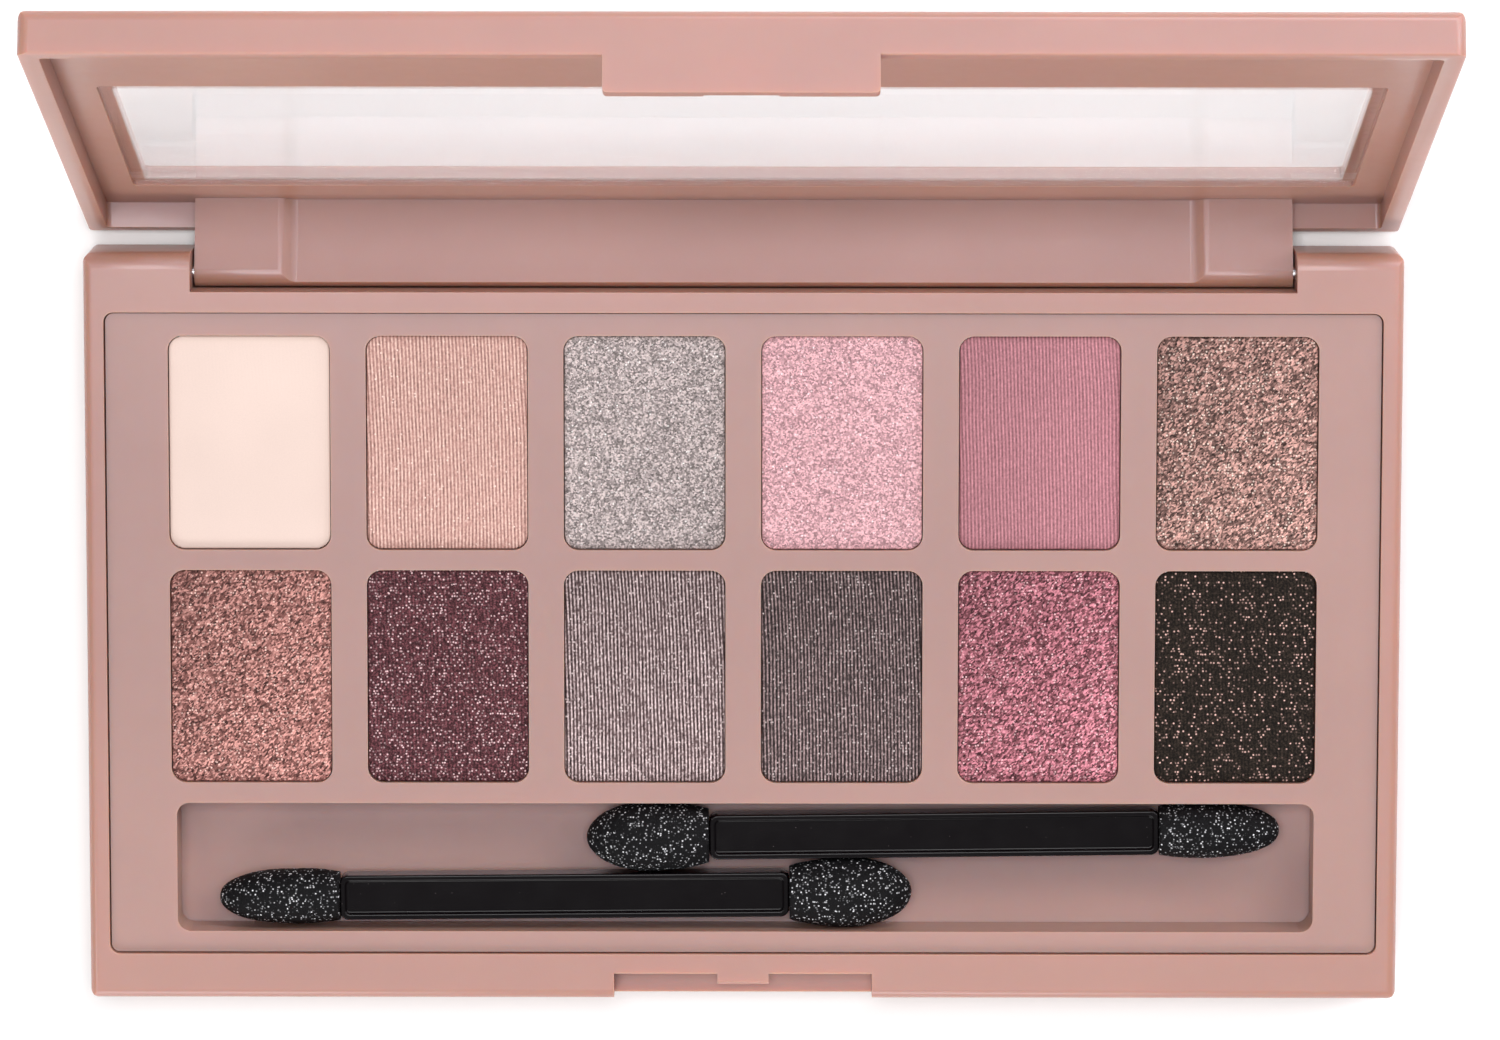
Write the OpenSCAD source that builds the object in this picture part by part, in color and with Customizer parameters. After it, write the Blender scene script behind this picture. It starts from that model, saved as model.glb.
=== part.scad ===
// Eyeshadow palette: a hinged case with a windowed lid, twelve pressed powders in metal pans
// and two double-ended sponge applicators that lie in a trough.
// The origin is the middle of the underside. X runs to the right, Y to the hinge, Z up.
// The lid is modelled open, as it stands when the palette is in use.

/* [Case] */
// Width of the case, along X
case_w = 122; // [122:0.5:126]
// Depth of the case, from the latch to the hinge, along Y
case_d = 70; // [70:0.5:72]
// Height of the lower half
base_h = 8.8; // [8.8:0.1:9.2]
// Height of the closed lid above the lower half
lid_h = 4.1; // [4:0.05:4.2]
// Gap between the two halves when the lid is closed
closing_gap = 0.15; // [0.15:0.05:0.3]
// Radius of the case's upright corners
corner_r = 1; // [0.6:0.1:1.4]
// Thickness of the case's floor
floor_t = 1.2; // [1:0.1:1.5]

/* [Hinge] */
// Angle through which the lid opens, in degrees
open_angle = 108; // [90:1:108]
// Distance from the hinge pins' axis to the rear face
axis_inset = 2.2; // [2.2:0.05:2.4]
// Height of the hinge pins' axis above the underside
axis_z = 4.55; // [4.5:0.05:4.8]
// Diameter of a hinge pin
pin_d = 1.3; // [1:0.05:1.4]
// Radial play of a pin in the lid's tongue
pin_play = 0.05; // [0.03:0.01:0.08]

/* [Tray] */
// Width of the base's rim beside the tray
rim_w = 2; // [1.8:0.1:2.2]
// Depth of the tray's surface below the rim
tray_drop = 0.5; // [0.3:0.1:0.8]
// Width of a pan's well
well_w = 15; // [14.4:0.1:15.6]
// Depth of a pan's well along Y
well_l = 20; // [19:0.1:20.2]
// Distance between the wells' centres along a row
column_pitch = 18.3; // [18.1:0.1:18.6]
// Distance between the two rows' centres
row_pitch = 21.9; // [21.9:0.1:22]
// Depth of the applicator trough
trough_h = 5; // [4.8:0.1:5]

/* [Applicators] */
// Length of an applicator's handle
handle_l = 42; // [36:1:42]
// Width of an applicator's handle
handle_w = 4.2; // [3.8:0.1:4.2]
// Thickness of an applicator's handle
handle_t = 2.6; // [2.2:0.1:3]
// Length of the oval sponge tip
oval_l = 11.6; // [10:0.1:11.6]
// Width of the oval sponge tip
oval_w = 6.6; // [5.6:0.1:6.6]
// Length of the pointed sponge tip
pointed_l = 11.4; // [10:0.1:11.4]
// Width of the pointed sponge tip
pointed_w = 5.2; // [4.8:0.1:5.2]

/* [Hidden] */
$fn = 64;
columns = 6;
shades = [
    "ivory", "peach", "silver", "pink", "mauve", "taupe",
    "copper_rose", "plum", "stone", "slate", "berry", "espresso"
];
shade_colours = [
    "#f6e0d2", "#dba697", "#b5a7a5", "#d7a3a4", "#a9777b", "#8d7165",
    "#a5685c", "#4a3034", "#7d6b66", "#5d5252", "#9a5a5e", "#33231f"
];
pan_nodes = [for (i = [0 : len(shades) - 1]) str("pan_", i + 1)];
powder_nodes = [for (shade = shades) str("powder_", shade)];

plastic = "#cf9c94";
steel = "#b9bcc0";
gloss_black = "#17141a";
foam_black = "#2b282d";

// Faces and axes of the case
rear_y = case_d / 2;
front_y = -case_d / 2;
axis_y = rear_y - axis_inset;
rim_z = base_h + closing_gap;
cut = 0.5;

// Rounding of the case's long edges
side_edge_r = 0.9;
rear_edge_r = 1.5;
lid_edge_r = 1;
low_edge_r = 1;
rim_r = 0.2;
cavity_r = 0.5;

// Tongue of the lid, between the ears of the base
notch_half_w = 51.1;
tongue_half_w = 50.9;
barrel_r = 1.3;
notch_play = 0.1;
notch_y = axis_y - barrel_r - notch_play;
pin_inner_x = tongue_half_w - 5.4;
pin_outer_x = case_w / 2 - 0.4;
pin_end_play = 0.1;

// Latch: a notch in the base's front wall, a lug in it and a tab on the lid
latch_half_w = 12.05;
latch_l = 2.4;
latch_floor_z = base_h - 3.5;
latch_back_y = front_y + latch_l;
lug_w = 4.8;
lug_l = 1;
tab_half_w = 11.7;
tab_t = 1.55;
tab_drop = 3.25;
bead_play = 0.25;
lug_play = 0.8;

// Tray
tray_gap = 0.12;
tray_w = case_w - 2 * rim_w;
tray_l = 60;
tray_y = -0.63;
tray_z = base_h - tray_drop;
tray_t = 1.2;
tray_r = 0.8;
skirt_t = 1;
well_h = 4.4;
well_r = 1.4;
well_wall = 0.8;
rear_margin = 2.07;
front_margin = 1.95;
rear_row_y = tray_y + tray_l / 2 - rear_margin - well_l / 2;
trough_w = 106;
trough_l = 12.15;
trough_x = 0.2;
trough_y = tray_y - tray_l / 2 + front_margin + trough_l / 2;
trough_r = 1.2;
trough_floor_z = tray_z - trough_h;

// Pans and powders
glue_t = 0.1;
glue_r = 3;
pan_play = 0.12;
pan_t = 0.25;
pan_floor_t = 0.3;
pan_z = tray_z - well_h + glue_t;
pan_h = 3.55;
powder_drop = 0.42;

// Lid
lid_plate_t = 1.6;
lid_side_t = 1.75;
lid_front_t = 1.7;
lid_rear_t = 1.6;
plate_z = base_h + lid_h - lid_plate_t;
window_w = 110;
window_front_y = -12.1;
window_rear_y = 25;
window_r = 0.6;
pane_flange = 1.2;
pane_flange_t = 0.5;
pane_play = 0.08;
pane_drop = 0.1;

// Applicators: middle of the handle, turn about Z, and height of the middle plane
tip_half_t = 2.9;
floor_play = 0.05;
applicator_z = trough_floor_z + tip_half_t + floor_play;
applicator_1_place = [17.84, -19.66, 0.7];
applicator_2_place = [-16.7, -25.5, 180.5];
paddle_w = 2.4;
paddle_t = 0.9;
paddle_l = 8;
paddle_play = 0.05;
heel_half_l = 0.9;
broad_facets = 28;
narrow_facets = 20;
handle_rim = 0.55;
panel_drop = 0.35;

// Label
label_w = 64;
label_l = 18;
label_y = 16;
label_r = 1;
label_play = 0.2;
label_t = 0.2;
label_recess = 0.3;

// Rectangle with round corners, centred
module round_rect(w, l, r) {
    square([w - 2 * r, l], center = true);
    square([w, l - 2 * r], center = true);
    for (x = [-1, 1], y = [-1, 1]) {
        translate([x * (w / 2 - r), y * (l / 2 - r)]) circle(r);
    }
}

// Cross-section of a box w wide and h high, standing on the X axis, with rounded edges:
// left_r and right_r at the top, low_r at the bottom
module edge_profile(w, h, left_r, right_r, low_r) {
    top_r = max(left_r, right_r);
    translate([-w / 2, low_r]) square([w, h - top_r - low_r]);
    translate([-w / 2 + left_r, low_r]) square([w - left_r - right_r, h - low_r]);
    translate([-w / 2 + low_r, 0]) square([w - 2 * low_r, h / 2]);
    for (side = [-1, 1]) {
        edge_r = side < 0 ? left_r : right_r;
        translate([side * (w / 2 - low_r), low_r]) circle(low_r);
        translate([side * (w / 2 - edge_r), h - edge_r]) circle(edge_r);
        translate([side < 0 ? -w / 2 : w / 2 - edge_r, low_r]) {
            square([edge_r, h - edge_r - low_r]);
        }
    }
}

// Flat box standing on z = 0, with round corners and rounded edges
module soft_box(w, l, h, plan_r, front_r, rear_r, side_r, low_r) {
    intersection() {
        linear_extrude(h) round_rect(w, l, plan_r);
        rotate([90, 0, 0]) {
            linear_extrude(l + 2 * cut, center = true) edge_profile(w, h, side_r, side_r, low_r);
        }
        rotate([90, 0, 90]) {
            linear_extrude(w + 2 * cut, center = true) edge_profile(l, h, front_r, rear_r, low_r);
        }
    }
}

// Block with upright round corners, standing on z = 0
module round_block(w, l, h, r) {
    linear_extrude(h) round_rect(w, l, r);
}

// Cylinder along X, centred
module x_cylinder(r, length) {
    rotate([0, 90, 0]) cylinder(r = r, h = length, center = true);
}

// Puts each child at every well's centre
module at_wells() {
    for (i = [0 : len(shades) - 1]) {
        at_well(i) children();
    }
}

// Puts its child at the centre of well number i, counted from the rear left
module at_well(i) {
    row = floor(i / columns);
    column = i % columns;
    x = (column - (columns - 1) / 2) * column_pitch;
    translate([x, rear_row_y - row * row_pitch, 0]) children();
}

// Turns its child about the hinge from closed to open
module opened() {
    translate([0, axis_y, axis_z]) {
        rotate([-open_angle, 0, 0]) {
            translate([0, -axis_y, -axis_z]) children();
        }
    }
}

module base_shell() color(plastic) {
    difference() {
        soft_box(case_w, case_d, base_h, corner_r, side_edge_r, rear_edge_r, side_edge_r, low_edge_r);
        translate([0, tray_y, floor_t]) {
            round_block(tray_w + 2 * tray_gap, tray_l + 2 * tray_gap, base_h, tray_r + tray_gap);
        }
        hinge_notch();
        latch_notch();
        for (side = [-1, 1]) {
            ear_mid_x = (notch_half_w + case_w / 2) / 2;
            ear_w = case_w / 2 - notch_half_w + 2 * cut;
            translate([side * ear_mid_x, axis_y, axis_z]) x_cylinder(pin_d / 2, ear_w);
        }
        label_recess_cut();
    }
    latch_lug();
}

module label_recess_cut() {
    recess_w = label_w + 2 * label_play;
    recess_l = label_l + 2 * label_play;
    translate([0, label_y, -cut]) {
        round_block(recess_w, recess_l, label_recess + cut, label_r + label_play);
    }
}

// Gap between the ears for the lid's tongue
module hinge_notch() {
    translate([-notch_half_w, notch_y, -cut]) {
        cube([2 * notch_half_w, axis_inset + barrel_r + notch_play + cut, base_h + 2 * cut]);
    }
}

module latch_notch() {
    translate([-latch_half_w, front_y - cut, latch_floor_z]) {
        cube([2 * latch_half_w, latch_l + cut, base_h]);
    }
}

// Lug on the back wall of the latch notch, flush with the rim and undercut below
module latch_lug() {
    sink = 0.3;
    foot_rise = 0.9;
    undercut_h = 0.5;
    lead = 0.25;
    foot_z = latch_floor_z + foot_rise;
    nose_z = foot_z + undercut_h;
    translate([0, latch_back_y, 0]) rotate([90, 0, -90]) {
        linear_extrude(lug_w, center = true) {
            polygon([
                [-sink, foot_z],
                [0, foot_z],
                [lug_l, nose_z],
                [lug_l, base_h - lead],
                [lug_l - lead, base_h],
                [-sink, base_h]
            ]);
        }
    }
}

module insert_tray() color("#c99d98") {
    difference() {
        translate([0, tray_y, 0]) {
            translate([0, 0, tray_z - tray_t]) round_block(tray_w, tray_l, tray_t, tray_r);
            tray_skirt();
            column_boxes();
            trough_box();
        }
        at_wells() {
            translate([0, 0, tray_z - well_h]) round_block(well_w, well_l, well_h + cut, well_r);
        }
        translate([trough_x, trough_y, trough_floor_z]) {
            round_block(trough_w, trough_l, trough_h + cut, trough_r);
        }
    }
}

// Wall under the tray's edge that stands on the case's floor
module tray_skirt() {
    skirt_h = tray_z - tray_t / 2 - floor_t;
    translate([0, 0, floor_t]) difference() {
        round_block(tray_w, tray_l, skirt_h, tray_r);
        translate([0, 0, -cut]) {
            round_block(tray_w - 2 * skirt_t, tray_l - 2 * skirt_t, skirt_h + 2 * cut, tray_r);
        }
    }
}

// Walls and floors around the two wells of each column
module column_boxes() {
    box_w = well_w + 2 * well_wall;
    box_l = row_pitch + well_l + 2 * well_wall;
    box_h = well_h + well_wall;
    box_y = rear_row_y - row_pitch / 2 - tray_y;
    for (column = [0 : columns - 1]) {
        x = (column - (columns - 1) / 2) * column_pitch;
        translate([x, box_y, tray_z - box_h]) round_block(box_w, box_l, box_h - cut, well_r);
    }
}

module trough_box() {
    box_h = trough_h + well_wall;
    translate([trough_x, trough_y - tray_y, tray_z - box_h]) {
        round_block(trough_w + 2 * well_wall, trough_l + 2 * well_wall, box_h - cut, trough_r);
    }
}

module pan(i) color(steel) {
    pan_w = well_w - 2 * pan_play;
    pan_l = well_l - 2 * pan_play;
    at_well(i) translate([0, 0, pan_z]) difference() {
        round_block(pan_w, pan_l, pan_h, well_r - pan_play);
        translate([0, 0, pan_floor_t]) {
            round_block(pan_w - 2 * pan_t, pan_l - 2 * pan_t, pan_h, well_r - pan_play - pan_t);
        }
    }
}

// Pressed cake that fills its pan and stands a little over the pan's edge
module powder(i) color(shade_colours[i]) {
    cake_w = well_w - 2 * (pan_play + pan_t);
    cake_l = well_l - 2 * (pan_play + pan_t);
    crown_w = well_w - 2 * pan_play;
    crown_l = well_l - 2 * pan_play;
    top_z = tray_z - powder_drop;
    edge_z = pan_z + pan_h;
    foot_z = pan_z + pan_floor_t;
    at_well(i) {
        translate([0, 0, foot_z]) {
            round_block(cake_w, cake_l, edge_z - foot_z, well_r - pan_play - pan_t);
        }
        translate([0, 0, edge_z]) {
            round_block(crown_w, crown_l, top_z - edge_z, well_r - pan_play);
        }
    }
}

module pan_glue() color("#e8e2cf") {
    at_wells() translate([0, 0, tray_z - well_h]) cylinder(r = glue_r, h = glue_t);
}

module bottom_label() color("#eee9e4") {
    translate([0, label_y, label_recess - label_t]) round_block(label_w, label_l, label_t, label_r);
}

module lid_frame() color(plastic) opened() {
    difference() {
        union() {
            lid_shell();
            tongue();
            latch_tab();
        }
        for (side = [-1, 1]) {
            bore_l = tongue_half_w - pin_inner_x + pin_end_play + cut;
            bore_x = tongue_half_w + cut - bore_l / 2;
            translate([side * bore_x, axis_y, axis_z]) x_cylinder(pin_d / 2 + pin_play, bore_l);
        }
    }
}

// Shallow tray with the window opening, closed position
module lid_shell() {
    cavity_w = case_w - 2 * lid_side_t;
    cavity_l = case_d - lid_front_t - lid_rear_t;
    window_l = window_rear_y - window_front_y;
    window_y = (window_rear_y + window_front_y) / 2;
    shell_h = lid_h - closing_gap;
    difference() {
        translate([0, 0, rim_z]) {
            soft_box(case_w, case_d, shell_h, corner_r, lid_edge_r, lid_edge_r, lid_edge_r, rim_r);
        }
        translate([0, (lid_front_t - lid_rear_t) / 2, rim_z - cut]) {
            round_block(cavity_w, cavity_l, plate_z - rim_z + cut, cavity_r);
        }
        translate([0, window_y, rim_z]) round_block(window_w, window_l, lid_h, window_r);
        translate([0, window_y, rim_z]) {
            round_block(
                window_w + 2 * pane_flange,
                window_l + 2 * pane_flange,
                plate_z + pane_flange_t - rim_z,
                window_r
            );
        }
    }
}

// Thick strip from the lid's plate down to the pins. Its heel meets the base's notch at full opening.
module tongue() {
    inner_y = axis_y - barrel_r;
    sink = 0.1;
    top_z = plate_z + sink;
    wall_y = rear_y - lid_rear_t / 2;
    join_rise = 1;
    join_z = rim_z + join_rise;
    difference() {
        rotate([90, 0, 90]) linear_extrude(2 * tongue_half_w, center = true) {
            translate([axis_y, axis_z]) circle(barrel_r);
            polygon([
                [inner_y, axis_z],
                [inner_y, top_z],
                [wall_y, top_z],
                [wall_y, join_z],
                [rear_y, join_z],
                [rear_y, heel_height()],
                heel_tangent()
            ]);
        }
        translate([0, inner_y, axis_z - 2 * barrel_r]) linear_extrude(top_z) tongue_recess();
    }
}

// Outline of the tongue's shallow recess, seen along Z: a flat floor whose two ends rise in an
// S-curve of two equal arcs
module tongue_recess() {
    floor_half_w = 41.4;
    depth = 0.55;
    slope_w = 1.8;
    slope_r = (slope_w * slope_w + depth * depth) / (4 * depth);
    translate([-floor_half_w, -cut]) square([2 * floor_half_w, depth + cut]);
    for (side = [0, 1]) mirror([side, 0]) translate([floor_half_w, 0]) {
        intersection() {
            translate([0, depth - slope_r]) circle(slope_r);
            translate([0, -cut]) square([slope_w / 2, depth + cut]);
        }
        difference() {
            translate([slope_w / 2, -cut]) square([slope_w / 2, depth / 2 + cut]);
            translate([slope_w, slope_r]) circle(slope_r);
        }
    }
}

// Height of the heel's edge on the tongue's rear face. The heel's sloping face touches the barrel
// and stands upright, facing the notch's wall, when the lid is fully open.
function heel_height() = axis_z - (barrel_r + axis_inset * cos(open_angle)) / sin(open_angle);

// Point where the heel's sloping face touches the barrel
function heel_tangent() = [
    axis_y - barrel_r * cos(open_angle),
    axis_z - barrel_r * sin(open_angle)
];

// Tab that hangs from the lid's front wall, with a channel for the lug and a catch bead below it
module latch_tab() {
    tab_z = rim_z - tab_drop;
    channel_half_w = lug_w / 2 + lug_play;
    lug_front_y = latch_back_y - lug_l;
    bead_h = 0.5;
    channel_h = tab_drop - bead_h + closing_gap;
    tab_r = 0.4;
    root_h = 0.8;
    tab_h = tab_drop + root_h;
    difference() {
        translate([0, front_y, rim_z + root_h]) rotate([-90, 0, 0]) linear_extrude(tab_t) {
            translate([-tab_half_w, 0]) square([2 * tab_half_w, tab_h - tab_r]);
            translate([-tab_half_w + tab_r, 0]) square([2 * (tab_half_w - tab_r), tab_h]);
            for (side = [-1, 1]) {
                translate([side * (tab_half_w - tab_r), tab_h - tab_r]) circle(tab_r);
            }
        }
        translate([-channel_half_w, lug_front_y - bead_play, tab_z - cut]) {
            cube([2 * channel_half_w, tab_t + cut, bead_h + 2 * cut]);
        }
        translate([-channel_half_w, lug_front_y - 2 * bead_play, tab_z + bead_h]) {
            cube([2 * channel_half_w, tab_t + cut, channel_h]);
        }
    }
}

// Clear pane: a flange in the lid's rebate and a thicker middle that fills the opening
module window_pane() color("#e6e8ee80") opened() {
    window_l = window_rear_y - window_front_y;
    window_y = (window_rear_y + window_front_y) / 2;
    middle_h = lid_plate_t - pane_drop;
    translate([0, window_y, plate_z]) {
        round_block(
            window_w + 2 * (pane_flange - pane_play),
            window_l + 2 * (pane_flange - pane_play),
            pane_flange_t,
            window_r
        );
        round_block(window_w - 2 * pane_play, window_l - 2 * pane_play, middle_h, window_r);
    }
}

module hinge_pin(side) color(steel) {
    pin_l = pin_outer_x - pin_inner_x;
    translate([side * (pin_outer_x + pin_inner_x) / 2, axis_y, axis_z]) x_cylinder(pin_d / 2, pin_l);
}

// Places an applicator. In its own frame the handle lies along X with the pointed tip at +X.
module placed(place) {
    translate([place[0], place[1], applicator_z]) rotate([0, 0, place[2]]) children();
}

module applicator_handle(place) color(gloss_black) placed(place) {
    handle_r = 0.8;
    panel_r = 0.4;
    panel_l = handle_l - 2 * handle_rim;
    panel_w = handle_w - 2 * handle_rim;
    difference() {
        translate([0, 0, -handle_t / 2]) round_block(handle_l, handle_w, handle_t, handle_r);
        for (side = [-1, 1]) {
            panel_z = side * (handle_t / 2 - panel_drop / 2 + cut / 2);
            translate([0, 0, panel_z - (panel_drop + cut) / 2]) {
                round_block(panel_l, panel_w, panel_drop + cut, panel_r);
            }
        }
    }
    for (side = [-1, 1]) {
        translate([side * (handle_l / 2 + paddle_l / 2 - cut / 2), 0, 0]) {
            cube([paddle_l + cut, paddle_w, paddle_t], center = true);
        }
    }
}

// Pocket in a sponge for the handle's paddle, reaching in from the handle's end
module paddle_pocket() {
    pocket_l = paddle_l + 2 * paddle_play;
    translate([pocket_l / 2 - cut / 2, 0, 0]) {
        cube([pocket_l + cut, paddle_w + 2 * paddle_play, paddle_t + 2 * paddle_play], center = true);
    }
}

// Oval ball that ends a sponge, given its half length, half width and half thickness
module bulb(x, half_l, half_w, half_t, facets) {
    translate([x, 0, 0]) scale([half_l, half_w, half_t]) sphere(r = 1, $fn = facets);
}

// Broad sponge. In its own frame it runs from x = 0, at the handle's end, to +X.
module oval_sponge() {
    middle_l = 5.4;
    heel_half_w = 0.75 * oval_w / 2;
    heel_half_t = 0.7 * tip_half_t;
    difference() {
        hull() {
            bulb(oval_l - middle_l, middle_l, oval_w / 2, tip_half_t, broad_facets);
            bulb(heel_half_l, heel_half_l, heel_half_w, heel_half_t, narrow_facets);
        }
        paddle_pocket();
    }
}

// Narrower sponge with a blunt point
module pointed_sponge() {
    middle_x = 5;
    middle_half_l = 3.6;
    nose_l = 2.4;
    nose_r = 1.95;
    nose_half_t = 0.9 * nose_r;
    middle_half_t = 0.9 * tip_half_t;
    heel_half_w = 0.92 * pointed_w / 2;
    heel_half_t = 0.73 * tip_half_t;
    difference() {
        hull() {
            bulb(pointed_l - nose_l, nose_l, nose_r, nose_half_t, narrow_facets);
            bulb(middle_x, middle_half_l, pointed_w / 2, middle_half_t, broad_facets);
            bulb(heel_half_l, heel_half_l, heel_half_w, heel_half_t, narrow_facets);
        }
        paddle_pocket();
    }
}

module oval_tip(place) color(foam_black) placed(place) {
    translate([-handle_l / 2, 0, 0]) rotate([0, 0, 180]) oval_sponge();
}

module pointed_tip(place) color(foam_black) placed(place) {
    translate([handle_l / 2, 0, 0]) pointed_sponge();
}

base_shell();
insert_tray();
pan_glue();
bottom_label();
for (i = [0 : len(shades) - 1]) {
    pan(i);
    powder(i);
}
lid_frame();
window_pane();
hinge_pin(-1);  // hinge_pin_left
hinge_pin(1);  // hinge_pin_right
applicator_handle(applicator_1_place);  // applicator_1_handle
oval_tip(applicator_1_place);  // applicator_1_oval_tip
pointed_tip(applicator_1_place);  // applicator_1_pointed_tip
applicator_handle(applicator_2_place);  // applicator_2_handle
oval_tip(applicator_2_place);  // applicator_2_oval_tip
pointed_tip(applicator_2_place);  // applicator_2_pointed_tip
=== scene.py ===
"""Looks of the eyeshadow palette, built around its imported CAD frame. Lengths are in metres."""

import math

import bmesh
import bpy
from mathutils import Euler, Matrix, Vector, noise


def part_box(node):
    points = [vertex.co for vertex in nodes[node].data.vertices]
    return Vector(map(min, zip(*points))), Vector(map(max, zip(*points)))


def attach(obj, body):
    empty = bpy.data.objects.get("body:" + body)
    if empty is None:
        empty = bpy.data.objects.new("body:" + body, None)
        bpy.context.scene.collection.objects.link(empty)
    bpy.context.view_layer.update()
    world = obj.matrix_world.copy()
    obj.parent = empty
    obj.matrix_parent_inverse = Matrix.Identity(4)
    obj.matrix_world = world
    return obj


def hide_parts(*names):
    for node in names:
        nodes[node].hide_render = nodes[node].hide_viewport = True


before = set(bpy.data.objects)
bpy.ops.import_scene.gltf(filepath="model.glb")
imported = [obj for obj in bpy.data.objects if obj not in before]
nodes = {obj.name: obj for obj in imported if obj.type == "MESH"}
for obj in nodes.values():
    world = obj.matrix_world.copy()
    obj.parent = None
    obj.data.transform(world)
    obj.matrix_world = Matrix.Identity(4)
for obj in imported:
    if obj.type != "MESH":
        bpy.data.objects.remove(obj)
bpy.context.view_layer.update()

MM = 0.001
SHADES = [
    "ivory", "peach", "silver", "pink", "mauve", "taupe",
    "copper_rose", "plum", "stone", "slate", "berry", "espresso",
]


# ---------------------------------------------------------------- colour and node helpers


def linear(red, green, blue):
    """Linear colour of an 8-bit sRGB one."""
    def channel(value):
        value /= 255
        return value / 12.92 if value <= 0.04045 else ((value + 0.055) / 1.055) ** 2.4
    return (channel(red), channel(green), channel(blue), 1.0)


def mixed(colour_a, colour_b, share):
    return tuple(a + (b - a) * share for a, b in zip(colour_a, colour_b))


BLANK = (0, 0, 0, 1)
FULL = (1, 1, 1, 1)

# Specks serve as dust and as painted glints. A speck: share of its radius that is fully bright, and how
# rare the brightest ones are
SPECK_CORE = 0.35
SPECK_RARITY = 1.6


class Surface:
    """A Principled material with short calls for its nodes."""

    def __init__(self, name, **sockets):
        self.material = bpy.data.materials.new(name)
        self.material.use_nodes = True
        self.tree = self.material.node_tree
        self.shader = self.tree.nodes["Principled BSDF"]
        for socket, value in sockets.items():
            self.shader.inputs[socket.replace("_", " ")].default_value = value
        self.coordinates = self.node("ShaderNodeTexCoord").outputs["Object"]

    def node(self, kind, **settings):
        made = self.tree.nodes.new(kind)
        for name, value in settings.items():
            setattr(made, name, value)
        return made

    def link(self, output, target):
        self.tree.links.new(output, target)

    def set(self, socket, output):
        self.link(output, self.shader.inputs[socket])

    def fill(self, made, *pairs):
        """Links each value to a numbered socket of a node, or writes it there if it is plain."""
        for value, socket in pairs:
            if isinstance(value, (tuple, float, int)):
                made.inputs[socket].default_value = value
            else:
                self.link(value, made.inputs[socket])

    def attribute(self, name):
        """A number that the piece's mesh carries at each of its points."""
        return self.node("ShaderNodeAttribute", attribute_name=name).outputs["Fac"]

    def slanted(self, angle, stretch):
        """Object coordinates squeezed along a direction, so that features grow long in it."""
        mapping = self.node("ShaderNodeMapping", vector_type="TEXTURE")
        mapping.inputs["Rotation"].default_value = (0, 0, math.radians(angle))
        mapping.inputs["Scale"].default_value = (stretch, 1, 1)
        self.link(self.coordinates, mapping.inputs["Vector"])
        return mapping.outputs["Vector"]

    def noise(self, size, detail=2.0, vector=None):
        """Noise whose features are about size metres wide."""
        made = self.node("ShaderNodeTexNoise")
        made.inputs["Scale"].default_value = 1 / size
        made.inputs["Detail"].default_value = detail
        self.link(vector or self.coordinates, made.inputs["Vector"])
        return made.outputs["Fac"]

    def cells(self, size, vector=None):
        """Voronoi cells about size metres wide, and the channels of each cell's random colour."""
        made = self.node("ShaderNodeTexVoronoi")
        made.inputs["Scale"].default_value = 1 / size
        self.link(vector or self.coordinates, made.inputs["Vector"])
        split = self.node("ShaderNodeSeparateColor")
        self.link(made.outputs["Color"], split.inputs["Color"])
        return made, split.outputs

    def dust_and_painted_glints(self, spacing, radius, share, flat=True):
        """Round bright specks, used as dust and as painted glints: 0 between them, and up to 1 in the
        middle of each.
        """
        cells, random = self.cells(spacing)
        if flat:
            cells.voronoi_dimensions = "2D"
        edge = radius / spacing
        near = self.range(cells.outputs["Distance"], 1, 0, SPECK_CORE * radius / spacing, edge)
        chosen = self.range(random["Green"], 0, 1, 1 - share - 0.01, 1 - share + 0.01)
        power = self.math("POWER", random["Blue"], SPECK_RARITY)
        return self.math("MULTIPLY", self.math("MULTIPLY", near, chosen), power)

    def ramp(self, factor, *stops):
        """Colour ramp with stops (position, colour)."""
        made = self.node("ShaderNodeValToRGB")
        elements = made.color_ramp.elements
        while len(elements) < len(stops):
            elements.new(0.5)
        for element, (position, colour) in zip(elements, stops):
            element.position = position
            element.color = colour
        self.link(factor, made.inputs["Fac"])
        return made.outputs["Color"]

    def range(self, factor, low, high, from_low=0.0, from_high=1.0):
        """Maps from_low..from_high to low..high."""
        made = self.node("ShaderNodeMapRange")
        made.inputs["From Min"].default_value = from_low
        made.inputs["From Max"].default_value = from_high
        made.inputs["To Min"].default_value = low
        made.inputs["To Max"].default_value = high
        self.link(factor, made.inputs["Value"])
        return made.outputs["Result"]

    def blend(self, factor, colour_a, colour_b, mode="MIX"):
        made = self.node("ShaderNodeMix", data_type="RGBA", blend_type=mode)
        self.fill(made, (factor, 0), (colour_a, 6), (colour_b, 7))
        return made.outputs[2]

    def math(self, operation, a, b):
        made = self.node("ShaderNodeMath", operation=operation)
        self.fill(made, (a, 0), (b, 1))
        return made.outputs[0]

    def tone(self, factor, low_colour, high_colour, low=0.3, high=0.7):
        """Colour that drifts between two near ones."""
        self.set("Base Color", self.ramp(factor, (low, low_colour), (high, high_colour)))

    def rough(self, factor, low, high):
        self.set("Roughness", self.range(factor, low, high))

    def bump(self, height, depth):
        made = self.node("ShaderNodeBump")
        made.inputs["Strength"].default_value = 1.0
        made.inputs["Distance"].default_value = depth
        self.link(height, made.inputs["Height"])
        self.set("Normal", made.outputs["Normal"])


# ---------------------------------------------------------------- materials

# Light that a level face receives, relative to a face that looks as bright as its own colour
LIGHT = 1.37


def body_colour(red, green, blue):
    """Colour of a matt face that looks red, green, blue under the studio's light."""
    return tuple(value / LIGHT for value in linear(red, green, blue)[:3]) + (1.0,)


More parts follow.
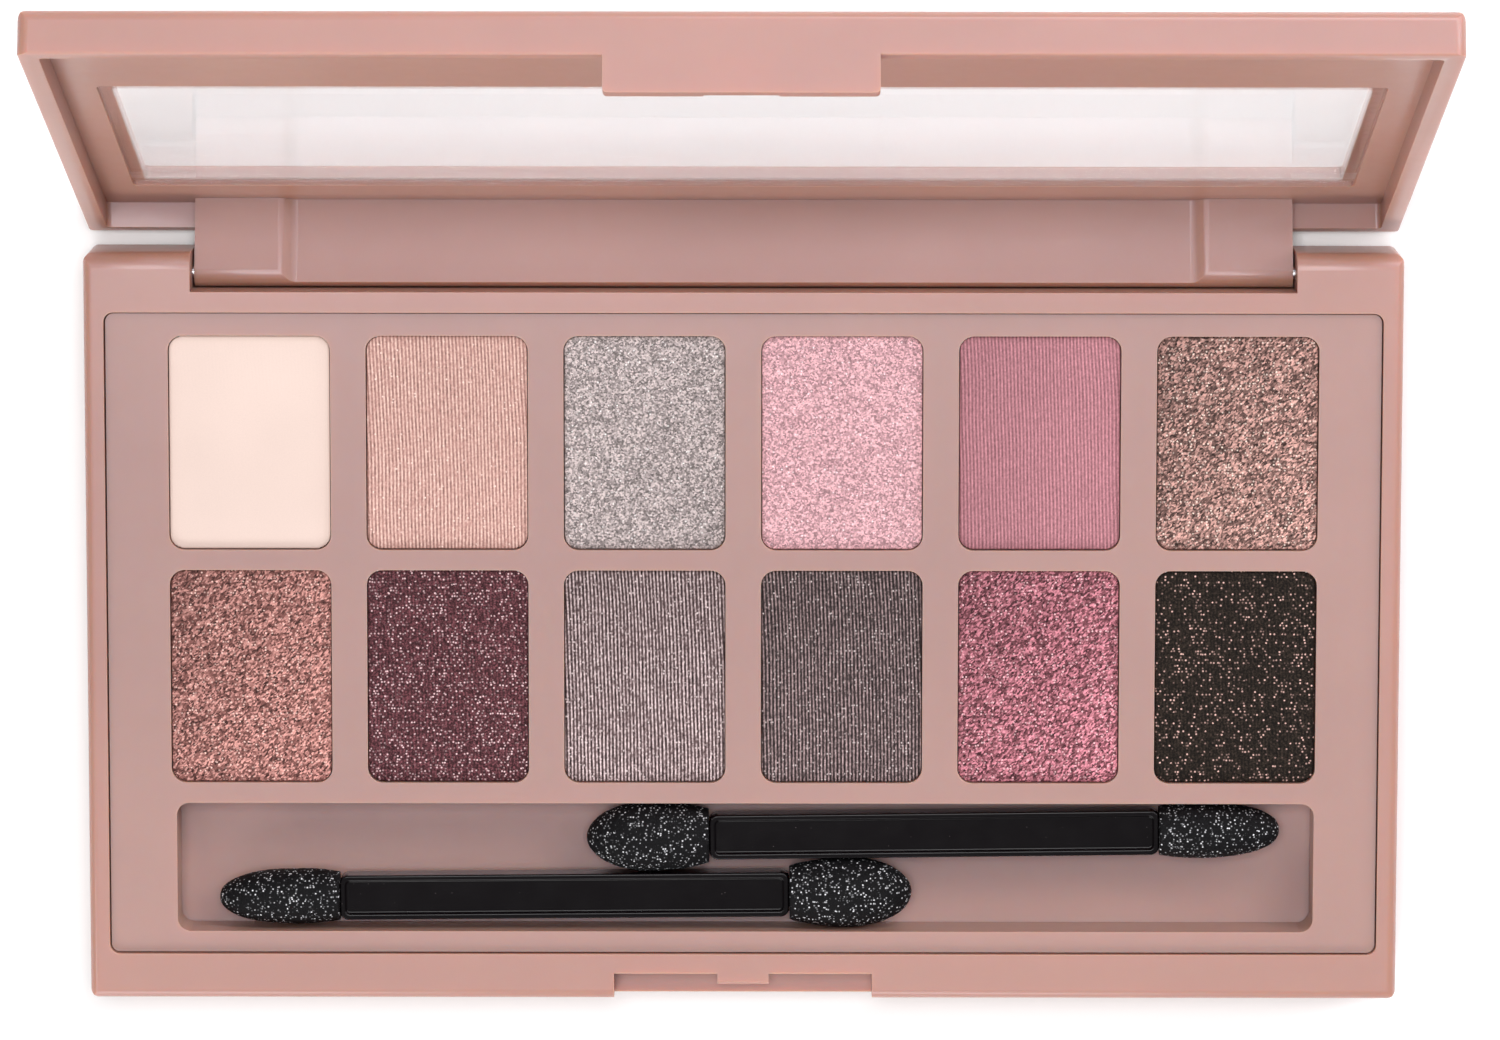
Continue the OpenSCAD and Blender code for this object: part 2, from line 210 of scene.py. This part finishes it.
def rose_plastic(name, colour, gloss):
    """Pearly moulded plastic: an orange body, a pink pearl reflection and a clear skin."""
    surface = Surface(
        name,
        IOR=1.95,
        Specular_Tint=PEARL,
        Coat_Weight=gloss,
        Coat_Roughness=0.2,
        Coat_IOR=1.45,
        Subsurface_Weight=0.55,
        Subsurface_Radius=(3.2, 1.2, 0.5),
        Subsurface_Scale=1.0 * MM,
    )
    surface.tone(surface.noise(14 * MM, detail=3), mixed(colour, BLANK, 0.06), colour)
    surface.rough(surface.noise(1.5 * MM, 4), 0.50, 0.60)
    surface.bump(surface.noise(0.25 * MM, 3), 0.0025 * MM)
    return surface.material


def clear_plastic():
    """Clear sheet. Part of the light passes straight through, so the floor behind it stays bright."""
    surface = Surface(
        "clear_plastic",
        Base_Color=(0.8, 0.97, 1.0, 1),
        IOR=1.45,
        Transmission_Weight=1.0,
        Alpha=0.35,
    )
    surface.rough(surface.noise(9 * MM, 3), 0.0, 0.015)
    return surface.material


def black_plastic():
    """Glossy black with a few grains of dust."""
    surface = Surface("black_plastic", IOR=1.3)
    dust = surface.dust_and_painted_glints(0.9 * MM, 0.05 * MM, 0.2)
    surface.tone(dust, linear(7, 4, 6), linear(95, 88, 88), 0.2, 0.9)
    surface.rough(surface.noise(2 * MM, 4), 0.14, 0.22)
    surface.bump(surface.noise(0.6 * MM, 3), 0.003 * MM)
    return surface.material


def black_foam():
    """Open-cell foam: black, a little darker in the hollows of its bump as painted shade, with bright
    grains painted in as glints of light off its cells.
    """
    surface = Surface("black_foam", IOR=1.25)
    # Bright grains: painted glints in the base colour, not a colour of the foam.
    grain = surface.dust_and_painted_glints(0.18 * MM, 0.105 * MM, 0.26, flat=False)
    pores = surface.noise(0.12 * MM, 2)
    # Darker where the bump is low: painted shade in the pores.
    body = surface.ramp(pores, (0.35, linear(2, 2, 3)), (0.65, linear(14, 13, 16)))
    surface.set("Base Color", surface.blend(grain, body, linear(250, 251, 255)))
    surface.rough(grain, 0.7, 0.3)
    surface.bump(pores, 0.05 * MM)
    return surface.material


def bright_metal(name, colour, roughness, grain):
    surface = Surface(name, Metallic=1.0)
    surface.tone(surface.noise(3 * MM, 3), mixed(colour, BLANK, 0.2), colour)
    surface.rough(surface.noise(0.8 * MM, 3), roughness, roughness + 0.12)
    surface.bump(surface.noise(grain, 3), 0.004 * MM)
    return surface.material


def label_paper():
    surface = Surface("label_paper")
    surface.tone(surface.noise(2 * MM, 5), linear(232, 226, 220), linear(243, 238, 233))
    surface.rough(surface.noise(1 * MM, 3), 0.5, 0.65)
    surface.bump(surface.noise(0.3 * MM, 4), 0.006 * MM)
    return surface.material


def set_glue():
    surface = Surface("glue", Subsurface_Weight=0.2)
    surface.tone(surface.noise(1 * MM, 3), linear(222, 214, 190), linear(236, 230, 212))
    surface.rough(surface.noise(1 * MM, 2), 0.3, 0.45)
    surface.bump(surface.noise(0.8 * MM, 2), 0.02 * MM)
    return surface.material


class Powder:
    """A shade: its colour, how its face is pressed and how it shines.

    kind is matt, ribs, grain, flakes or sparks. spread is how far lights and darks lie from the
    mean, relief the height of the imprint in mm, glints the share of painted glints, glint_colour
    their colour, painted_light_drift how much painted light brightens the face along X and Y, and
    shine how much smoother than matt the face is.
    """

    def __init__(self, kind, colour, spread, relief, glints=0.0, glint_colour=(255, 255, 255),
                 painted_light_drift=(0.0, 0.0), shine=0.0):
        self.kind = kind
        self.colour = body_colour(*colour)
        self.spread = spread
        self.relief = relief * MM
        self.glints = glints
        self.glint_colour = linear(*glint_colour)
        self.painted_light_drift = painted_light_drift
        self.shine = shine


# Each shade's glint share and glint colour are painted glints, and its last pair of numbers is painted
# light across the face.
POWDERS = {
    "ivory": Powder("matt", (262, 237, 225), 0.01, 0.002),
    "peach": Powder("ribs", (231, 178, 167), 0.50, 0.016, 0.08, (255, 230, 218), (0.0, -0.04), 0.2),
    "silver": Powder("grain", (184, 171, 169), 0.50, 0.018, 0.14, (245, 243, 241), (-0.04, 0.0), 0.2),
    "pink": Powder("grain", (228, 177, 183), 0.36, 0.014, 0.12, (255, 236, 240), (0.0, 0.0), 0.2),
    "mauve": Powder("ribs", (198, 137, 146), 0.36, 0.010, painted_light_drift=(0.06, -0.02)),
    "taupe": Powder("flakes", (153, 118, 110), 0.90, 0.020, 0.30, (252, 234, 220), (0.13, -0.13), 0.2),
    "copper_rose": Powder(
        "flakes", (171, 114, 107), 0.90, 0.020, 0.30, (254, 218, 206), (0.14, -0.12), 0.2
    ),
    "plum": Powder("sparks", (88, 51, 56), 0.80, 0.010, 0.5, (250, 214, 216), (0.0, -0.02), 0.1),
    "stone": Powder("ribs", (122, 100, 100), 1.40, 0.026, 0.22, (232, 216, 214), (0.0, -0.12), 0.2),
    "slate": Powder("ribs", (86, 73, 73), 1.40, 0.026, 0.24, (214, 200, 198), (-0.02, -0.14), 0.2),
    "berry": Powder("flakes", (165, 100, 110), 0.90, 0.020, 0.30, (254, 210, 214), (0.13, -0.12), 0.2),
    "espresso": Powder("sparks", (36, 29, 24), 0.80, 0.010, 0.3, (252, 206, 194), (0.0, 0.0), 0.1),
}

# Shares of the relief, a fine noise and the flakes in a powder's tone. The relief and the fine noise are
# also the face's heights, so their shares are painted shade in hollows and painted light on tops.
TONE_SHARES = {
    "matt": (0.3, 0.7, 0.0),
    "ribs": (0.78, 0.10, 0.12),
    "grain": (0.30, 0.10, 0.60),
    "flakes": (0.28, 0.17, 0.55),
    "sparks": (0.35, 0.30, 0.35),
}
FLAKE_SIZE = 0.15 * MM
FLAKE_ANGLE = 42
GLINT_SPACING = 0.27 * MM
GLINT_RADIUS = 0.11 * MM

# Most light that a powder gives back, and how fast its darks and lights leave the mean
LIGHTEST = 0.95
DARK_RATE = 1.9
LIGHT_RATE = 1.5


def fine_noise(surface, kind):
    """Finest grain of a powder, drawn out as its flakes or ribs are."""
    if kind == "flakes":
        fine = surface.noise(0.15 * MM, 2, surface.slanted(FLAKE_ANGLE, 2.2))
    elif kind == "ribs":
        fine = surface.noise(0.13 * MM, 2, surface.slanted(90, 1.6))
    else:
        fine = surface.noise(0.14 * MM, 2)
    return surface.range(fine, 0, 1, 0.28, 0.72)


def powder_material(shade):
    """Pressed powder: tone follows the relief and a fine grain, darker in their hollows and lighter on
    their tops as painted shade and light, is brightened towards one side by painted light, and carries
    painted glints of mica on top.
    """
    powder = POWDERS[shade]
    surface = Surface("powder_" + shade, IOR=1.22)
    relief = surface.attribute("relief")
    painted_light_drift = surface.attribute("painted_light_drift")
    fine = fine_noise(surface, powder.kind)
    flake_space = surface.slanted(FLAKE_ANGLE, 1.5) if powder.kind == "flakes" else None
    flake = surface.cells(FLAKE_SIZE, flake_space)[1]["Red"]
    sources = zip((relief, fine, flake), TONE_SHARES[powder.kind])
    parts = [surface.math("MULTIPLY", source, share) for source, share in sources]
    tone = surface.math("ADD", surface.math("ADD", parts[0], parts[1]), parts[2])
    low = math.exp(-DARK_RATE * powder.spread)
    high = math.exp(LIGHT_RATE * powder.spread)
    dark = tuple(value * low for value in powder.colour[:3]) + (1,)
    light = tuple(min(value * high, LIGHTEST) for value in powder.colour[:3]) + (1,)
    # Dark and light ends of the tone: painted shade in hollows and painted light on tops, together with
    # the grain's own tone.
    body = surface.ramp(tone, (0.2, dark), (0.5, powder.colour), (0.8, light))
    # Painted light: the face grows brighter towards one side, as light fell across it.
    body = surface.blend(1.0, body, surface.ramp(painted_light_drift, (0, BLANK), (1, FULL)), "MULTIPLY")
    # Painted glints: bright specks in the base colour that stand for light off the mica flakes.
    if powder.glints:
        painted_mica_glints = surface.dust_and_painted_glints(GLINT_SPACING, GLINT_RADIUS, powder.glints)
        body = surface.blend(painted_mica_glints, body, powder.glint_colour)
    surface.set("Base Color", body)
    surface.rough(tone, 0.72 - 0.3 * powder.shine, 0.78 - 0.1 * powder.shine)
    surface.bump(fine, powder.relief * 0.6)
    return surface.material


PEARL = linear(222, 222, 255)
ROSE = rose_plastic("rose_plastic", (0.405, 0.205, 0.134, 1), 0.4)
TRAY = rose_plastic("tray_plastic", (0.380, 0.210, 0.147, 1), 0.25)
CLEAR = clear_plastic()
BLACK = black_plastic()
FOAM = black_foam()
TIN = bright_metal("pan_metal", linear(196, 196, 200), 0.28, 0.4 * MM)
STEEL = bright_metal("pin_steel", linear(200, 198, 200), 0.18, 0.2 * MM)
PAPER = label_paper()
GLUE = set_glue()


# ---------------------------------------------------------------- pieces


def paint(piece, material):
    piece.data.materials.clear()
    piece.data.materials.append(material)


def soften(piece, width, clamp):
    """Rounds a CAD node's sharp edges with modifiers, leaving its mesh alone."""
    weld = piece.modifiers.new("weld", "WELD")
    weld.merge_threshold = 0.001 * MM
    dissolve = piece.modifiers.new("dissolve", "DECIMATE")
    dissolve.decimate_type = "DISSOLVE"
    dissolve.angle_limit = math.radians(0.5)
    bevel = piece.modifiers.new("bevel", "BEVEL")
    bevel.width = width
    bevel.segments = 3
    bevel.limit_method = "ANGLE"
    bevel.angle_limit = math.radians(32)
    bevel.use_clamp_overlap = clamp
    bevel.miter_outer = "MITER_ARC"
    bevel.harden_normals = True


def finished_mesh(name, bm):
    """Turns all faces outward, and hands over the mesh."""
    bmesh.ops.recalc_face_normals(bm, faces=bm.faces)
    mesh = bpy.data.meshes.new(name)
    bm.to_mesh(mesh)
    bm.free()
    return mesh


def new_piece(name, bm, body, material, node):
    """A piece that stands for a CAD node and rides on its body."""
    mesh = finished_mesh(name, bm)
    piece = bpy.data.objects.new(name, mesh)
    bpy.context.scene.collection.objects.link(piece)
    for polygon in mesh.polygons:
        polygon.use_smooth = True
    paint(piece, material)
    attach(piece, body)
    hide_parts(node)
    return piece


def bridge(bm, loops):
    """Joins each ring of points to the next one."""
    for ring_a, ring_b in zip(loops, loops[1:]):
        for j in range(len(ring_a)):
            k = (j + 1) % len(ring_a)
            bm.faces.new((ring_a[j], ring_a[k], ring_b[k], ring_b[j]))


# ---------------------------------------------------------------- pressed powders

RIB_PITCH = 0.33 * MM

# A cake is this much wider on each side than its CAD crown, and fills the pan with its foot
SPREAD = 0.04 * MM
CAKE_CORNER = 1.28 * MM
PAN_WALL = 0.25 * MM
CAKE_SINK = 0.03 * MM
EDGE_DROP = 0.06 * MM
EDGE_W = 0.18 * MM

# Steps of a cake's grid: across ribs, along them, and for a face without ribs
RIB_STEP = RIB_PITCH / 6
ROW_STEP = 0.14 * MM
GRAIN_STEP = 0.09 * MM


def rounded_distance(x, y, half_w, half_l, radius):
    """How far a point lies inside a rectangle with round corners."""
    dx = abs(x) - (half_w - radius)
    dy = abs(y) - (half_l - radius)
    outside = math.hypot(max(dx, 0), max(dy, 0))
    return radius - outside - min(max(dx, dy), 0)


def smooth_step(value):
    value = min(max(value, 0), 1)
    return value * value * (3 - 2 * value)


def ribs_at(x, y, seed):
    """Imprint of the press cloth, from -1 to 1: broken ribs along Y that lean and waver a little."""
    wander = noise.noise(Vector((x / (4 * MM), y / (6 * MM), seed)))
    lean = 0.03 * y
    bow = 0.0012 * y * y / MM
    phase = 2 * math.pi * (x + lean + bow + 0.12 * MM * wander) / RIB_PITCH
    strength = 0.75 + 0.6 * noise.noise(Vector((x / (0.3 * MM), y / (0.6 * MM), seed + 5)))
    return math.cos(phase) * strength


def grain_at(x, y, size, stretch, seed):
    """Grain from -1 to 1, drawn out along the flakes' direction."""
    turn = math.radians(FLAKE_ANGLE)
    along = (x * math.cos(turn) + y * math.sin(turn)) / stretch
    across = y * math.cos(turn) - x * math.sin(turn)
    value = noise.noise(Vector((along / size, across / size, seed)))
    return value + 0.5 * noise.noise(Vector((2.1 * along / size, 2.1 * across / size, seed + 3)))


def relief_at(kind, x, y, seed):
    """Height of the pressed face over its mean, from about -1 to 1."""
    if kind == "ribs":
        return 0.8 * ribs_at(x, y, seed) + 0.35 * grain_at(x, y, 0.16 * MM, 1, seed + 9)
    if kind == "flakes":
        return 1.1 * grain_at(x, y, 0.15 * MM, 1.8, seed + 9)
    if kind == "sparks":
        return 0.6 * ribs_at(x, y, seed) + 0.6 * grain_at(x, y, 0.18 * MM, 1, seed + 9)
    if kind == "matt":
        fade = smooth_step((y - 2 * MM) / (6 * MM))
        return 0.9 * fade * ribs_at(x, y, seed) + 0.3 * grain_at(x, y, 0.3 * MM, 1, seed + 9)
    return grain_at(x, y, 0.14 * MM, 1, seed + 9)


class Cake:
    """Pressed powder in one pan: sizes of its face, and the mesh that grows from them."""

    def __init__(self, shade, number):
        self.powder = POWDERS[shade]
        self.number = number
        self.low, self.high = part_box("powder_" + shade)
        self.middle = (self.low + self.high) / 2
        self.half_w = (self.high.x - self.low.x) / 2 + SPREAD
        self.half_l = (self.high.y - self.low.y) / 2 + SPREAD
        has_ribs = self.powder.kind in ("ribs", "sparks", "matt")
        self.columns = round(2 * self.half_w / (RIB_STEP if has_ribs else GRAIN_STEP))
        self.rows = round(2 * self.half_l / (ROW_STEP if has_ribs else GRAIN_STEP))
        self.step = min(2 * self.half_w / self.columns, 2 * self.half_l / self.rows)
        self.bm = bmesh.new()
        self.relief_layer = self.bm.verts.layers.float.new("relief")
        self.painted_light_layer = self.bm.verts.layers.float.new("painted_light_drift")

    def snapped(self, x, y):
        """A grid point beside the outline, moved onto a round corner where it lies in one."""
        straight_w = self.half_w - CAKE_CORNER
        straight_l = self.half_l - CAKE_CORNER
        if abs(x) > straight_w and abs(y) > straight_l:
            corner = Vector((math.copysign(straight_w, x), math.copysign(straight_l, y)))
            return corner + (Vector((x, y)) - corner).normalized() * CAKE_CORNER
        return x, y

    def painted_light_at(self, x, y):
        """Painted light over the face: brighter along the shade's slope, with a faint cloud of its own
        tone; at most 1.
        """
        painted_light_drift = self.powder.painted_light_drift
        slope = painted_light_drift[0] * x / self.half_w + painted_light_drift[1] * y / self.half_l
        cloud = 0.04 * noise.noise(Vector((x / (5 * MM), y / (5 * MM), self.number + 40.5)))
        return 1 / (1 + sum(abs(value) for value in painted_light_drift) + 0.04) * (1 + slope + cloud)

    def face_point(self, x, y):
        """Vertex of the pressed face, or None outside the outline."""
        inside = rounded_distance(x, y, self.half_w, self.half_l, CAKE_CORNER)
        if inside < -0.7 * self.step:
            return None
        if inside < 0.45 * self.step:
            x, y = self.snapped(x, y)
            inside = 0.0
        level = smooth_step(inside / EDGE_W)
        relief = relief_at(self.powder.kind, x, y, 7.3 * self.number)
        swell = 0.012 * MM * noise.noise(Vector((x / (3 * MM), y / (3 * MM), self.number + 0.5)))
        drop = EDGE_DROP * (1 - level) ** 1.5
        z = self.high.z - CAKE_SINK - drop + (self.powder.relief * relief + swell) * level
        vertex = self.bm.verts.new((self.middle.x + x, self.middle.y + y, z))
        # The relief also sets the tone: painted shade in hollows, painted light on tops.
        vertex[self.relief_layer] = 0.5 + 0.42 * relief
        # Painted light across the face, with a faint cloud of the powder's own tone.
        vertex[self.painted_light_layer] = self.painted_light_at(x, y)
        return vertex

    def add_face(self):
        grid = {}
        for i in range(self.columns + 1):
            x = -self.half_w + 2 * self.half_w * i / self.columns
            for j in range(self.rows + 1):
                y = -self.half_l + 2 * self.half_l * j / self.rows
                grid[i, j] = self.face_point(x, y)
        for i in range(self.columns):
            for j in range(self.rows):
                corners = [grid[key] for key in ((i, j), (i + 1, j), (i + 1, j + 1), (i, j + 1))]
                corners = [corner for corner in corners if corner]
                if len(corners) >= 3:
                    self.bm.faces.new(corners)

    def outline(self):
        """Ring of the outermost points of the face, in order."""
        edge = next(edge for edge in self.bm.edges if edge.is_boundary)
        first, here = edge.verts
        ring = [first]
        while here != first:
            ring.append(here)
            edge = next(other for other in here.link_edges if other.is_boundary and other != edge)
            here = edge.other_vert(here)
        return ring

    def lowered(self, vertex, inset, z):
        """A new point below another one, moved towards the middle by inset."""
        x = (vertex.co.x - self.middle.x) * (1 - inset / self.half_w)
        y = (vertex.co.y - self.middle.y) * (1 - inset / self.half_l)
        made = self.bm.verts.new((self.middle.x + x, self.middle.y + y, z))
        for layer in (self.relief_layer, self.painted_light_layer):
            made[layer] = vertex[layer]
        return made

    def add_sides(self, pan_top):
        """Walls down to the pan's rim, a ledge as wide as its wall, and the foot in the pan."""
        rings = [self.outline()]
        for inset, z in ((0, pan_top), (PAN_WALL, pan_top), (0, self.low.z)):
            rings.append([self.lowered(vertex, inset, z) for vertex in rings[-1]])
        bridge(self.bm, rings)
        self.bm.faces.new(rings[-1])


def pressed_powder(shade, number):
    """Cake with a relief on top, soft edges, and a narrower foot that fills the pan."""
    cake = Cake(shade, number)
    cake.add_face()
    cake.add_sides(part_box(f"pan_{number + 1}")[1].z)
    node = "powder_" + shade
    new_piece("pressed_" + shade, cake.bm, "base", powder_material(shade), node)


# ---------------------------------------------------------------- sponges and pins


class Foam:
    """Profile of a sponge: widest share of its length, half width, half thickness, heel, bluntness."""

    def __init__(self, widest, half_w, half_t, heel, power):
        self.widest = widest
        self.half_w = half_w * MM
        self.half_t = half_t * MM
        self.heel = heel
        self.power = power

    def share(self, t):
        """Width at share t of the length, against the greatest width."""
        if t < self.widest:
            rise = math.sin(0.5 * math.pi * t / self.widest) ** 0.75
            return self.heel + (1 - self.heel) * rise
        fall = (t - self.widest) / (1 - self.widest)
        return max(0.0, 1 - fall ** self.power) ** (1 / self.power)

    def point(self, t, angle, length, seed):
        """Point of the porous skin, with X along the tip and the heel at 0."""
        share = self.share(t)
        y = self.half_w * share * math.cos(angle)
        z = self.half_t * share * math.sin(angle)
        local = Vector((t * length, y, z))
        normal = Vector((0, y / self.half_w ** 2, z / self.half_t ** 2)).normalized()
        probe = local / PORE + Vector((seed, 0, 0))
        pores = noise.noise(probe) + 0.6 * noise.noise(probe * 2.1)
        lumps = noise.noise(local / LUMP + Vector((seed, 3, 0)))
        height = SKIN * pores + SKIN * lumps - SKIN_SINK
        return local + normal * MM * height * min(1, 3 * share)


FOAMS = {"oval": Foam(0.48, 3.3, 2.85, 0.76, 2.0), "pointed": Foam(0.34, 2.6, 2.55, 0.88, 2.3)}
FOAM_RINGS = 110
FOAM_AROUND = 150
PORE = 0.28 * MM
LUMP = 2.2 * MM

# Roughness of the foam's skin and how far it is sunk to stay within the CAD tip, in mm
SKIN = 0.05
SKIN_SINK = 0.03


def sponge(name, node, body, kind, seed):
    """Foam tip with a porous skin, laid along the CAD tip's own line."""
    handle_low, handle_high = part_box(body + "_handle")
    low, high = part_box(node)
    middle = (low + high) / 2
    handle_middle = (handle_low + handle_high) / 2
    outward = 1 if middle.x > handle_middle.x else -1
    axis = Vector((middle.x - handle_middle.x, middle.y - handle_middle.y, 0)).normalized()
    side = Vector((-axis.y, axis.x, 0))
    far_x = high.x if outward > 0 else low.x
    near_x = low.x if outward > 0 else high.x
    length = abs(far_x - near_x) - 0.1 * MM
    near_y = handle_middle.y + (near_x - handle_middle.x) * axis.y / axis.x
    start = Vector((near_x, near_y, middle.z))
    bm = bmesh.new()
    loops = []
    for i in range(FOAM_RINGS):
        t = math.sin(0.5 * math.pi * i / FOAM_RINGS)
        loop = []
        for j in range(FOAM_AROUND):
            place = FOAMS[kind].point(t, 2 * math.pi * j / FOAM_AROUND, length, seed)
            loop.append(bm.verts.new(start + axis * place.x + side * place.y + Vector((0, 0, place.z))))
        loops.append(loop)
    bridge(bm, loops)
    nose = bm.verts.new(start + axis * (length - 0.02 * MM))
    for j in range(FOAM_AROUND):
        bm.faces.new((loops[-1][j], loops[-1][(j + 1) % FOAM_AROUND], nose))
    bm.faces.new(loops[0])
    piece = new_piece(name, bm, body, FOAM, node)


PIN_TEETH = 18
TOOTH_STEPS = 6
KNURL_DEPTH = 0.06

# Share of a pin's length and of its radius there, from the inner end to the outer one
PIN_STATIONS = [(0, 0.8), (0.012, 1), (0.44, 1), (0.46, 1), (0.985, 1), (1, 0.8)]


def knurled_pin(node):
    """Steel pin whose outer half has fine straight knurls for the press fit."""
    low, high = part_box(node)
    middle = (low + high) / 2
    radius = (high.z - low.z) / 2
    around = PIN_TEETH * TOOTH_STEPS
    outward = 1 if middle.x > 0 else -1
    length = high.x - low.x
    bm = bmesh.new()
    loops = []
    for share, scale in PIN_STATIONS:
        knurl = KNURL_DEPTH if 0.45 < share < 0.99 else 0
        x = middle.x + outward * (share - 0.5) * length
        loop = []
        for j in range(around):
            angle = 2 * math.pi * j / around
            r = radius * scale * (1 - knurl * (0.5 - 0.5 * math.cos(PIN_TEETH * angle)))
            loop.append(bm.verts.new((x, middle.y + r * math.cos(angle), middle.z + r * math.sin(angle))))
        loops.append(loop)
    bridge(bm, loops)
    bm.faces.new(loops[0])
    bm.faces.new(loops[-1])
    new_piece("knurled_" + node, bm, "base", STEEL, node)


for name, material, width, clamp in (
    ("base_shell", ROSE, 0.22 * MM, True),
    ("lid_frame", ROSE, 0.18 * MM, True),
    ("insert_tray", TRAY, 0.1 * MM, True),
    ("window_pane", CLEAR, 0.08 * MM, True),
    ("applicator_1_handle", BLACK, 0.16 * MM, False),
    ("applicator_2_handle", BLACK, 0.16 * MM, False),
):
    paint(nodes[name], material)
    soften(nodes[name], width, clamp)
for number in range(len(SHADES)):
    paint(nodes[f"pan_{number + 1}"], TIN)
paint(nodes["bottom_label"], PAPER)
paint(nodes["pan_glue"], GLUE)

for number, shade in enumerate(SHADES):
    pressed_powder(shade, number)
for number in (1, 2):
    body = f"applicator_{number}"
    sponge(f"foam_oval_{number}", f"{body}_oval_tip", body, "oval", 3.1 * number)
    sponge(f"foam_pointed_{number}", f"{body}_pointed_tip", body, "pointed", 5.7 * number)
knurled_pin("hinge_pin_left")
knurled_pin("hinge_pin_right")


# ---------------------------------------------------------------- stage, light and camera


def plain_floor():
    """Pale level floor, a hair below the case."""
    mesh = bpy.data.meshes.new("floor")
    bm = bmesh.new()
    bmesh.ops.create_grid(bm, x_segments=1, y_segments=1, size=3)
    bm.to_mesh(mesh)
    bm.free()
    floor = bpy.data.objects.new("floor", mesh)
    floor.location.z = -0.02 * MM
    bpy.context.scene.collection.objects.link(floor)
    surface = Surface("floor", Base_Color=(0.93, 0.93, 0.93, 1), Roughness=0.9, Specular_IOR_Level=0.1)
    paint(floor, surface.material)


def soft_light(name, place, target, width, height, power, colour=(1, 1, 1)):
    """Rectangular light that faces its target."""
    light = bpy.data.lights.new(name, "AREA")
    light.shape = "RECTANGLE"
    light.size = width
    light.size_y = height
    light.energy = power
    light.color = colour
    holder = bpy.data.objects.new(name, light)
    holder.location = place
    holder.rotation_euler = (Vector(target) - Vector(place)).to_track_quat("-Z", "Y").to_euler()
    bpy.context.scene.collection.objects.link(holder)


def studio():
    """Even light from above, with softer ones from the front, from behind and from the right."""
    world = bpy.data.worlds.new("studio")
    world.use_nodes = True
    background = world.node_tree.nodes["Background"]
    background.inputs["Color"].default_value = (1.0, 0.98, 1.0, 1)
    background.inputs["Strength"].default_value = 0.34
    bpy.context.scene.world = world
    soft_light("key", (-0.03, 0.14, 0.85), (0, 0, 0), 0.34, 0.34, 3.95)
    soft_light("front", (-0.3, -0.75, 0.45), (0, 0, 0.02), 0.7, 0.35, 5.0)
    soft_light("back", (0.32, 0.50, 0.50), (0, 0, 0.02), 0.9, 0.12, 4.0, (1, 0.97, 1))
    soft_light("side", (0.75, 0.30, 0.38), (0, 0, 0.02), 0.3, 0.3, 1.2, (1, 0.95, 1))
    bpy.context.scene.view_settings.view_transform = "Standard"


def camera():
    """Looks down on the open case from a little behind its middle."""
    data = bpy.data.cameras.new("camera")
    data.sensor_width = 36
    data.lens = 180.48
    data.clip_start = 0.01
    holder = bpy.data.objects.new("camera", data)
    holder.location = (2.2 * MM, 106.63 * MM, 698.89 * MM)
    holder.rotation_euler = Euler([math.radians(a) for a in (-7.9526, 0.1382, 0.0507)])
    bpy.context.scene.collection.objects.link(holder)
    bpy.context.scene.camera = holder


plain_floor()
studio()
camera()
